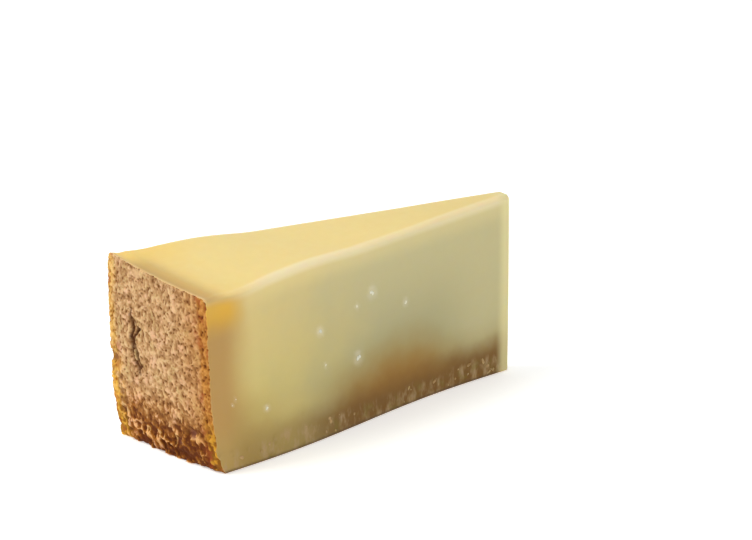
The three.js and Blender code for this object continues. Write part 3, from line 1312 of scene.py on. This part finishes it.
WHITE_CRYSTAL = ScrapFinish(
    "white_crystal", dark=srgb(224, 218, 180), light=srgb(244, 242, 222), patching=(900.0, 1.5),
    grain=Grain(2500.0, 0.4, 0.5, 0.1 * MM),
    inside=LightInside(0.5, 0.6 * MM, (1.0, 0.9, 0.7)), roughness=0.5)
RIND_CRUMB = ScrapFinish(
    "rind_crumb", dark=srgb(150, 114, 62), light=srgb(196, 164, 108), patching=(260.0, 2.4),
    grain=Grain(1800.0, 0.4, 0.5, 0.15 * MM),
    inside=LightInside(0.6, 1.0 * MM, (1.0, 0.6, 0.3)), roughness=0.7)


@dataclass(frozen=True)
class FloorFinish:
    """A plain pale studio floor, lit a little from below."""

    pale: tuple = srgb(246, 246, 245)
    glow: float = 0.46
    roughness: float = 0.9
    gloss: float = 0.1

    def material(self) -> bpy.types.Material:
        """Builds the material.

        Returns:
            The material.
        """
        material, _, shader = start_material("pale_floor", self.roughness)
        shader.inputs["Base Color"].default_value = self.pale
        shader.inputs["Specular IOR Level"].default_value = self.gloss
        shader.inputs["Emission Color"].default_value = self.pale
        shader.inputs["Emission Strength"].default_value = self.glow
        return material


# Sub-assemblies

def make_object(name: str, mesh: bpy.types.Mesh) -> bpy.types.Object:
    """Puts a mesh in the scene.

    Args:
        name: The object's name.
        mesh: Its mesh.

    Returns:
        The object.
    """
    made = bpy.data.objects.new(name, mesh)
    bpy.context.scene.collection.objects.link(made)
    return made


def mesh_of(name: str, bm: bmesh.types.BMesh) -> bpy.types.Mesh:
    """Turns a bmesh into a mesh and frees it.

    Args:
        name: The mesh's name.
        bm: The bmesh.

    Returns:
        The mesh.
    """
    mesh = bpy.data.meshes.new(name)
    bm.to_mesh(mesh)
    bm.free()
    return mesh


def small_pieces(name: str, bm: bmesh.types.BMesh, material: bpy.types.Material) -> bpy.types.Object:
    """Makes one smooth object of many small shapes.

    Args:
        name: The object's name.
        bm: The bmesh that holds the shapes.
        material: Their material.

    Returns:
        The object.
    """
    for face in bm.faces:
        face.smooth = True
    made = make_object(name, mesh_of(name, bm))
    made.data.materials.append(material)
    return made


def points_of(mesh: bpy.types.Mesh) -> np.ndarray:
    """The places of a mesh's vertices, one row each."""
    places = np.empty(len(mesh.vertices) * 3, np.float32)
    mesh.vertices.foreach_get("co", places)
    return places.reshape(-1, 3).astype(float)


def set_points(mesh: bpy.types.Mesh, places: np.ndarray) -> None:
    """Moves a mesh's vertices.

    Args:
        mesh: The mesh.
        places: The new places, one row each.
    """
    mesh.vertices.foreach_set("co", places.astype(np.float32).ravel())
    mesh.update()


def write_attribute(mesh: bpy.types.Mesh, name: str, values: np.ndarray) -> None:
    """Writes one number for each vertex.

    Args:
        mesh: The mesh.
        name: The attribute's name.
        values: The numbers.
    """
    attribute = mesh.attributes.new(name, "FLOAT", "POINT")
    attribute.data.foreach_set("value", values.astype(np.float32))


@dataclass(frozen=True)
class CrystalSpot:
    """A crystal on a cut face: its distance behind the heel's chord, its height and its size, in metres."""

    along: float
    height: float
    radius: float


@dataclass(frozen=True)
class Crystals:
    """White crystals that the knife laid bare on the cut faces."""

    form: WedgeForm
    shown: tuple[CrystalSpot, ...] = (
        CrystalSpot(134 * MM, 77 * MM, 1.7 * MM),
        CrystalSpot(89 * MM, 65 * MM, 1.4 * MM),
        CrystalSpot(122 * MM, 41 * MM, 1.8 * MM),
        CrystalSpot(44 * MM, 31 * MM, 0.9 * MM),
        CrystalSpot(121 * MM, 72 * MM, 0.8 * MM),
        CrystalSpot(164 * MM, 64 * MM, 1.1 * MM),
        CrystalSpot(93 * MM, 44 * MM, 0.7 * MM),
        CrystalSpot(20 * MM, 42 * MM, 0.45 * MM),
        CrystalSpot(17 * MM, 39 * MM, 0.4 * MM),
    )
    hidden_count: int = 11
    hidden_along: tuple[float, float] = (0.08, 0.9)
    hidden_up: tuple[float, float] = (0.2, 0.85)
    hidden_radius: tuple[float, float] = (0.6, 1.4)
    lumps: int = 5
    lump_scatter: float = 0.55
    lump_size: tuple[float, float] = (0.35, 0.65)
    lump_stretch: tuple[float, float] = (0.7, 1.3)
    flatness: float = 0.3
    seed: int = 4

    def spots(self, side: Side) -> list[CrystalSpot]:
        """The crystals on one cut face.

        Args:
            side: The cut face.

        Returns:
            Their places and sizes.
        """
        if side is Side.RIGHT:
            return list(self.shown)
        pick = random.Random(self.seed)
        return [CrystalSpot(pick.uniform(*self.hidden_along) * self.form.length,
                            pick.uniform(*self.hidden_up) * self.form.height_left,
                            pick.uniform(*self.hidden_radius) * MM) for _ in range(self.hidden_count)]

    def build(self, surface: "Wedge", material: bpy.types.Material) -> bpy.types.Object:
        """Builds the crystals.

        Args:
            surface: The wedge that they sit in.
            material: Their material.

        Returns:
            The crystals' object.
        """
        bm = bmesh.new()
        pick = random.Random(self.seed + 1)
        for side in Side:
            for spot in self.spots(side):
                for _ in range(self.lumps):
                    spread = self.lump_scatter * spot.radius
                    along = spot.along + pick.uniform(-spread, spread)
                    height = spot.height + pick.uniform(-spread, spread)
                    size = spot.radius * pick.uniform(*self.lump_size)
                    base = surface.on_cut(side, along, height)
                    turn = Matrix.Rotation(pick.uniform(0, math.tau), 4, "Y")
                    long, tall = pick.uniform(*self.lump_stretch), pick.uniform(*self.lump_stretch)
                    flat = Matrix.Diagonal((long, self.flatness, tall, 1))
                    bmesh.ops.create_icosphere(
                        bm, subdivisions=2, radius=size, matrix=Matrix.Translation(base) @ turn @ flat)
        return small_pieces("crystals", bm, material)


@dataclass(frozen=True)
class Crumbs:
    """Crumbs of rind pressed into the foot of the cut faces."""

    form: WedgeForm
    count: int = 30
    low: float = 2.5 * MM
    band: float = 13 * MM
    ends: tuple[float, float] = (0.07, 0.97)
    least_size: float = 0.4 * MM
    size_range: float = 1.1 * MM
    long: tuple[float, float] = (0.9, 1.9)
    tall: tuple[float, float] = (0.6, 1.1)
    flatness: float = 0.2
    uneven: tuple[float, float] = (0.82, 1.18)
    seed: int = 9

    def build(self, surface: "Wedge", material: bpy.types.Material) -> bpy.types.Object:
        """Builds the crumbs.

        Args:
            surface: The wedge that they are pressed into.
            material: Their material.

        Returns:
            The crumbs' object.
        """
        bm = bmesh.new()
        pick = random.Random(self.seed)
        for side in Side:
            for _ in range(self.count):
                along = pick.uniform(*self.ends) * self.form.length
                height = pick.uniform(self.low, self.band)
                size = self.least_size + self.size_range * pick.random() ** 2
                base = surface.on_cut(side, along, height)
                turn = Matrix.Rotation(pick.uniform(0, math.tau), 4, "Y")
                long, tall = pick.uniform(*self.long), pick.uniform(*self.tall)
                shape = Matrix.Diagonal((long, self.flatness, tall, 1))
                made = bmesh.ops.create_icosphere(
                    bm, subdivisions=2, radius=size, matrix=Matrix.Translation(base) @ turn @ shape)
                for vertex in made["verts"]:
                    away = vertex.co - base
                    vertex.co = base + away * pick.uniform(*self.uneven)
        return small_pieces("foot_crumbs", bm, material)


@dataclass
class Wedge:
    """The wedge itself: a cut block whose heel is the craggy rind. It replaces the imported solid."""

    form: WedgeForm
    grain: RindGrain
    crystals: Crystals
    along: int = 150
    across: int = 30
    up: int = 62
    heel_across: int = 240
    heel_up: int = 280
    corner_steps: int = 5
    overshoot: float = 14 * MM
    side_overshoot: float = 3 * MM
    small_wave: float = 0.12 * MM
    small_wave_length: float = 21 * MM
    trough_place: float = 5.2 * MM
    trough_reach: float = 4.6 * MM
    trough_depth: float = 0.7 * MM
    trough_power: int = 6
    faces_apart: float = 0.4
    top_apart: float = 0.9
    crack_shows: tuple[float, float] = (0.4 * MM, 1.6 * MM)
    crack_share: float = 0.95
    hollow_shows: tuple[float, float] = (0.9 * MM, 2.4 * MM)
    hollow_share: float = 0.7
    bloom_reach: float = 3.6
    bloom_white: float = 0.22
    bloom_uneven: float = 0.8
    bloom_size: float = 2.6 * MM
    shift: tuple[float, float, float] = (0.0, 0.0, 0.0)

    def rows(self, index: np.ndarray, count: int, length: np.ndarray, first: float) -> np.ndarray:
        """Places of the mesh's rows: close together where an edge is rounded, even between.

        Args:
            index: Number of each row.
            count: Number of the last row.
            length: Length that the rows divide.
            first: How far the rounding at the first row reaches.

        Returns:
            The place of each row from the start.
        """
        last, steps = self.form.edge_radius, self.corner_steps

        def near(rows_in: np.ndarray, reach: float) -> np.ndarray:
            """Places of the rows of a rounded end, counted from it."""
            angle = np.pi / 4 * (1 - np.clip(rows_in, 0, steps) / steps)
            return reach * (1 - np.tan(angle))

        even = first + (length - first - last) * (index - steps) / (count - 2 * steps)
        start = np.where(index < steps, near(index, first), even)
        return np.where(index > count - steps, length - near(count - index, last), start)

    def knife_waves(self, points: np.ndarray, top: np.ndarray) -> np.ndarray:
        """Waves the cut faces as a knife leaves them.

        Args:
            points: Places on the block, one row each.
            top: Height of the top over each.

        Returns:
            The waved places.
        """
        form = self.form
        x, y, z = points.T
        up = z / top
        face = self.faces_apart * np.sign(y)
        wave = form.cut_wave * swell(x, z + face, form.cut_wave_length, Seed.CUT_WAVE)
        wave = wave + self.small_wave * swell(x, z + face, self.small_wave_length, Seed.SMALL_CUT_WAVE)
        y = y + np.sin(np.pi * np.clip(up, 0, 1)) * wave
        y = y - (1 - up) * form.drift * np.sin(math.tau * x / form.length)
        beside = y + self.top_apart
        lift = form.cut_wave * swell(x, beside, form.cut_wave_length, Seed.TOP_WAVE)
        lift = lift + self.small_wave * swell(x, beside, self.small_wave_length, Seed.SMALL_TOP_WAVE)
        behind = x - form.even_heel(y, z)
        trough = mound(behind - self.trough_place, self.trough_reach, self.trough_depth)
        z = z + up * lift - up ** self.trough_power * trough
        return np.stack([x, y, z], 1)

    def cut_block(self) -> bpy.types.Mesh:
        """The cut block, with soft edges and gently waved faces. It runs past the heel."""
        counts = (self.along, self.across, self.up)
        bm = bmesh.new()
        bmesh.ops.create_cube(bm, size=1.0, matrix=Matrix.Translation((0.5, 0.5, 0.5)))
        for axis, count in enumerate(counts):
            edges = [e for e in bm.edges if abs((e.verts[0].co - e.verts[1].co)[axis]) > 1e-6]
            bmesh.ops.subdivide_edges(bm, edges=edges, cuts=count - 1, use_grid_fill=True)
        mesh = mesh_of("cut_block", bm)
        form, radius = self.form, self.form.edge_radius
        i, j, k = np.rint(points_of(mesh) * counts).T
        x = self.rows(i, self.along, form.length + self.overshoot, radius) - self.overshoot
        side = form.half_width(x)
        y = self.rows(j, self.across, 2 * side, radius) - side
        top = form.top_height(x, y)
        z = self.rows(k, self.up, top, form.foot_edge_height)
        points = np.stack([x, y, z], 1)
        core = np.stack([np.minimum(x, form.length - radius), np.clip(y, radius - side, side - radius),
                         np.clip(z, form.foot_edge_height, top - radius)], 1)
        flat = np.ones_like(points)
        flat[z < form.foot_edge_height, 2] = radius / form.foot_edge_height
        away = (points - core) * flat
        far = np.linalg.norm(away, axis=1)
        pulled = core + away / flat * (radius / np.maximum(far, radius))[:, None]
        set_points(mesh, self.knife_waves(pulled, top))
        return mesh

    def behind_the_rind(self) -> bpy.types.Mesh:
        """A slab whose front is the rind, and which holds everything behind it."""
        form = self.form
        width = form.width + 2 * self.side_overshoot
        height = form.height_left + form.tip_rise + form.top_crest.height + 2 * self.side_overshoot
        bm = bmesh.new()
        bmesh.ops.create_grid(bm, x_segments=self.heel_up, y_segments=self.heel_across, size=0.5)
        bmesh.ops.rotate(bm, verts=bm.verts, matrix=Matrix.Rotation(math.pi / 2, 3, "Y"))
        bmesh.ops.scale(bm, verts=bm.verts, vec=(1.0, width, height))
        bmesh.ops.translate(bm, verts=bm.verts, vec=(0.0, 0.0, height / 2 - self.side_overshoot))
        rim = [edge for edge in bm.edges if edge.is_boundary]
        back = bmesh.ops.extrude_edge_only(bm, edges=rim)["geom"]
        moved = [part for part in back if isinstance(part, bmesh.types.BMVert)]
        bmesh.ops.translate(bm, verts=moved, vec=(form.length + 2 * self.overshoot, 0.0, 0.0))
        bmesh.ops.edgeloop_fill(bm, edges=[edge for edge in bm.edges if edge.is_boundary])
        for face in bm.faces:
            face.material_index = Dress.RIND.value
        bmesh.ops.recalc_face_normals(bm, faces=bm.faces)
        mesh = mesh_of("behind_the_rind", bm)
        points = points_of(mesh)
        front = points[:, 0] < self.overshoot
        y, z = points[front, 1], points[front, 2]
        out = form.relief(y, z) + self.grain.read(form, y, z)[0]
        points[front, 0] = form.even_heel(y, z) - out
        set_points(mesh, points)
        return mesh

    def on_cut(self, side: Side, along: float, height: float) -> Vector:
        """A place on a cut face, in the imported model's frame.

        Args:
            side: The cut face.
            along: Distance behind the heel's chord.
            height: Height above the foot.

        Returns:
            The place.
        """
        x = np.array([along])
        y = side.value * self.form.half_width(x)
        top = self.form.top_height(x, y)
        waved = self.knife_waves(np.stack([x, y, np.array([height])], 1), top)[0]
        return Vector(waved) + Vector(self.shift)

    def bloom(self, points: np.ndarray) -> np.ndarray:
        """How white the paste is around its crystals.

        Args:
            points: Places on the wedge, one row each.

        Returns:
            Values between 0 and 1.
        """
        white = np.zeros(len(points))
        for side in Side:
            for spot in self.crystals.spots(side):
                place = self.on_cut(side, spot.along, spot.height) - Vector(self.shift)
                distance = np.linalg.norm(points - np.array(place), axis=1)
                white = np.maximum(white, mound(distance, self.bloom_reach * spot.radius, self.bloom_white))
        uneven = swell(points[:, 0], points[:, 2], self.bloom_size, Seed.BLOOM)
        return white * (1 + self.bloom_uneven * uneven)

    def join(self, block: bpy.types.Mesh, slab: bpy.types.Mesh, materials: list) -> bpy.types.Mesh:
        """Keeps what the block and the slab have in common.

        Args:
            block: The cut block.
            slab: The slab behind the rind.
            materials: The materials, in the order of the slots.

        Returns:
            The common mesh.
        """
        for mesh in (block, slab):
            for material in materials:
                mesh.materials.append(material)
        first, second = make_object("block", block), make_object("slab", slab)
        cut = first.modifiers.new("rind", "BOOLEAN")
        cut.operation = "INTERSECT"
        cut.solver = "MANIFOLD"
        cut.object = second
        ready = first.evaluated_get(bpy.context.evaluated_depsgraph_get())
        common = bpy.data.meshes.new_from_object(ready)
        for used in (first, second):
            bpy.data.objects.remove(used)
        return common

    def dress(self, mesh: bpy.types.Mesh) -> None:
        """Smooths the mesh, with a sharp line round the rind, and finds its underside.

        Args:
            mesh: The wedge's mesh.
        """
        bm = bmesh.new()
        bm.from_mesh(mesh)
        bmesh.ops.remove_doubles(bm, verts=bm.verts, dist=0.002 * MM)
        for face in bm.faces:
            face.smooth = True
            if face.material_index == Dress.PASTE.value and face.normal.z < -0.9:
                face.material_index = Dress.UNDERSIDE.value
        for edge in bm.edges:
            rinds = {face.material_index == Dress.RIND.value for face in edge.link_faces}
            edge.smooth = len(rinds) < 2
        bm.to_mesh(mesh)
        bm.free()

    def build(self, materials: list[bpy.types.Material]) -> bpy.types.Object:
        """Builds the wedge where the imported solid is.

        Args:
            materials: The paste, rind and underside materials.

        Returns:
            The wedge's object.
        """
        form = self.form
        mesh = self.join(self.cut_block(), self.behind_the_rind(), materials)
        self.dress(mesh)
        points = points_of(mesh)
        x, y, z = points.T
        from_cut = form.half_width(x) - np.abs(y)
        readings = {
            "behind_rind": (x - form.even_heel(y, z)) / MM,
            "from_tip": (form.length - x) / MM,
            "from_cut": from_cut / MM,
            "from_edge": np.hypot(from_cut, form.top_height(x, y) - z) / MM,
            "crest": self.grain.read(form, y, z)[1],
            "crack": smooth_rise(form.crack_depth(y, z), *self.crack_shows) * self.crack_share,
            "hollow": smooth_rise(form.dent_depth(y, z), *self.hollow_shows) * self.hollow_share,
            "bloom": self.bloom(points),
        }
        for name, values in readings.items():
            write_attribute(mesh, name, values)
        low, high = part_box(NODE)
        middle = (points[:, 1].min() + points[:, 1].max()) / 2
        self.shift = (high.x - points[:, 0].max(), (low.y + high.y) / 2 - middle, low.z - points[:, 2].min())
        set_points(mesh, points + np.array(self.shift))
        mesh.name = "wedge"
        return make_object("wedge", mesh)


@dataclass(frozen=True)
class Softbox:
    """A square studio light that faces the wedge."""

    name: str
    place: tuple[float, float, float]
    size: float
    power: float
    colour: tuple[float, float, float]

    def build(self, aim: Vector) -> bpy.types.Object:
        """Builds the light.

        Args:
            aim: The place that it faces.

        Returns:
            The light's object.
        """
        light = bpy.data.lights.new(self.name, "AREA")
        light.shape = "SQUARE"
        light.size = self.size
        light.energy = self.power
        light.color = self.colour
        made = bpy.data.objects.new(self.name, light)
        made.location = self.place
        made.rotation_euler = (aim - made.location).to_track_quat("-Z", "Y").to_euler()
        bpy.context.scene.collection.objects.link(made)
        return made


@dataclass(frozen=True)
class Studio:
    """Floor, lights and camera. The camera's aim is given along its own right and up from the origin."""

    azimuth: float = -39.261
    elevation: float = 16.915
    distance: float = 2.6
    lens: float = 214.63
    sensor: float = 36.0
    aim_right: float = 24.047 * MM
    aim_up: float = 82.507 * MM
    floor_width: float = 24.0
    sky: tuple = (0.97, 0.98, 1.0, 1.0)
    sky_strength: float = 0.62
    lights: tuple[Softbox, ...] = (
        Softbox("key", (-6.0, 2.2, 7.6), 4.4, 555.0, (1.0, 0.98, 0.94)),
        Softbox("fill", (1.5, -7.0, 4.0), 5.0, 24.0, (1.0, 0.99, 0.97)),
    )

    def build(self, floor_material: bpy.types.Material) -> None:
        """Builds the studio.

        Args:
            floor_material: The floor's material.
        """
        bm = bmesh.new()
        bmesh.ops.create_grid(bm, x_segments=1, y_segments=1, size=self.floor_width / 2)
        floor = make_object("floor", mesh_of("floor", bm))
        floor.data.materials.append(floor_material)
        low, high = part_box(NODE)
        for light in self.lights:
            light.build((low + high) / 2)
        self.build_sky()
        self.build_camera()

    def build_sky(self) -> None:
        """Builds the even light from all round, and sets how colours are shown."""
        scene = bpy.context.scene
        world = bpy.data.worlds.new("studio")
        world.use_nodes = True
        background = world.node_tree.nodes["Background"]
        background.inputs["Color"].default_value = self.sky
        background.inputs["Strength"].default_value = self.sky_strength
        scene.world = world
        scene.view_settings.view_transform = "Standard"

    def build_camera(self) -> bpy.types.Object:
        """Builds the camera at the photograph's viewing angle.

        Returns:
            The camera's object.
        """
        around, above = math.radians(self.azimuth), math.radians(self.elevation)
        right = Vector((math.cos(around), math.sin(around), 0.0))
        level = Vector((math.sin(around), -math.cos(around), 0.0))
        back = level * math.cos(above) + Vector((0.0, 0.0, math.sin(above)))
        aim = right * self.aim_right + back.cross(right) * self.aim_up
        camera = bpy.data.cameras.new("camera")
        camera.lens = self.lens
        camera.sensor_width = self.sensor
        made = bpy.data.objects.new("camera", camera)
        made.location = aim + back * self.distance
        made.rotation_euler = (-back).to_track_quat("-Z", "Y").to_euler()
        bpy.context.scene.collection.objects.link(made)
        bpy.context.scene.camera = made
        return made


def main() -> None:
    """Builds the studio and the cheese, and reports each piece."""
    logging.basicConfig(level=logging.INFO, format="%(name)s: %(message)s")
    effects = SharedEffects()
    Studio().build(FloorFinish().material())
    form = WedgeForm()
    crystals = Crystals(form)
    wedge = Wedge(form, RindGrain(), crystals)
    finishes = (PasteFinish(), RindFinish(), UndersideFinish())
    body = wedge.build([finish.material(effects) for finish in finishes])
    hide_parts(NODE)
    pieces = [
        body,
        crystals.build(wedge, WHITE_CRYSTAL.material(effects)),
        Crumbs(form).build(wedge, RIND_CRUMB.material(effects)),
    ]
    for piece in pieces:
        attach(piece, BODY)
        faces = sum(len(polygon.vertices) - 2 for polygon in piece.data.polygons)
        log.info("%s has %d triangles", piece.name, faces)


if __name__ == "__main__":
    main()
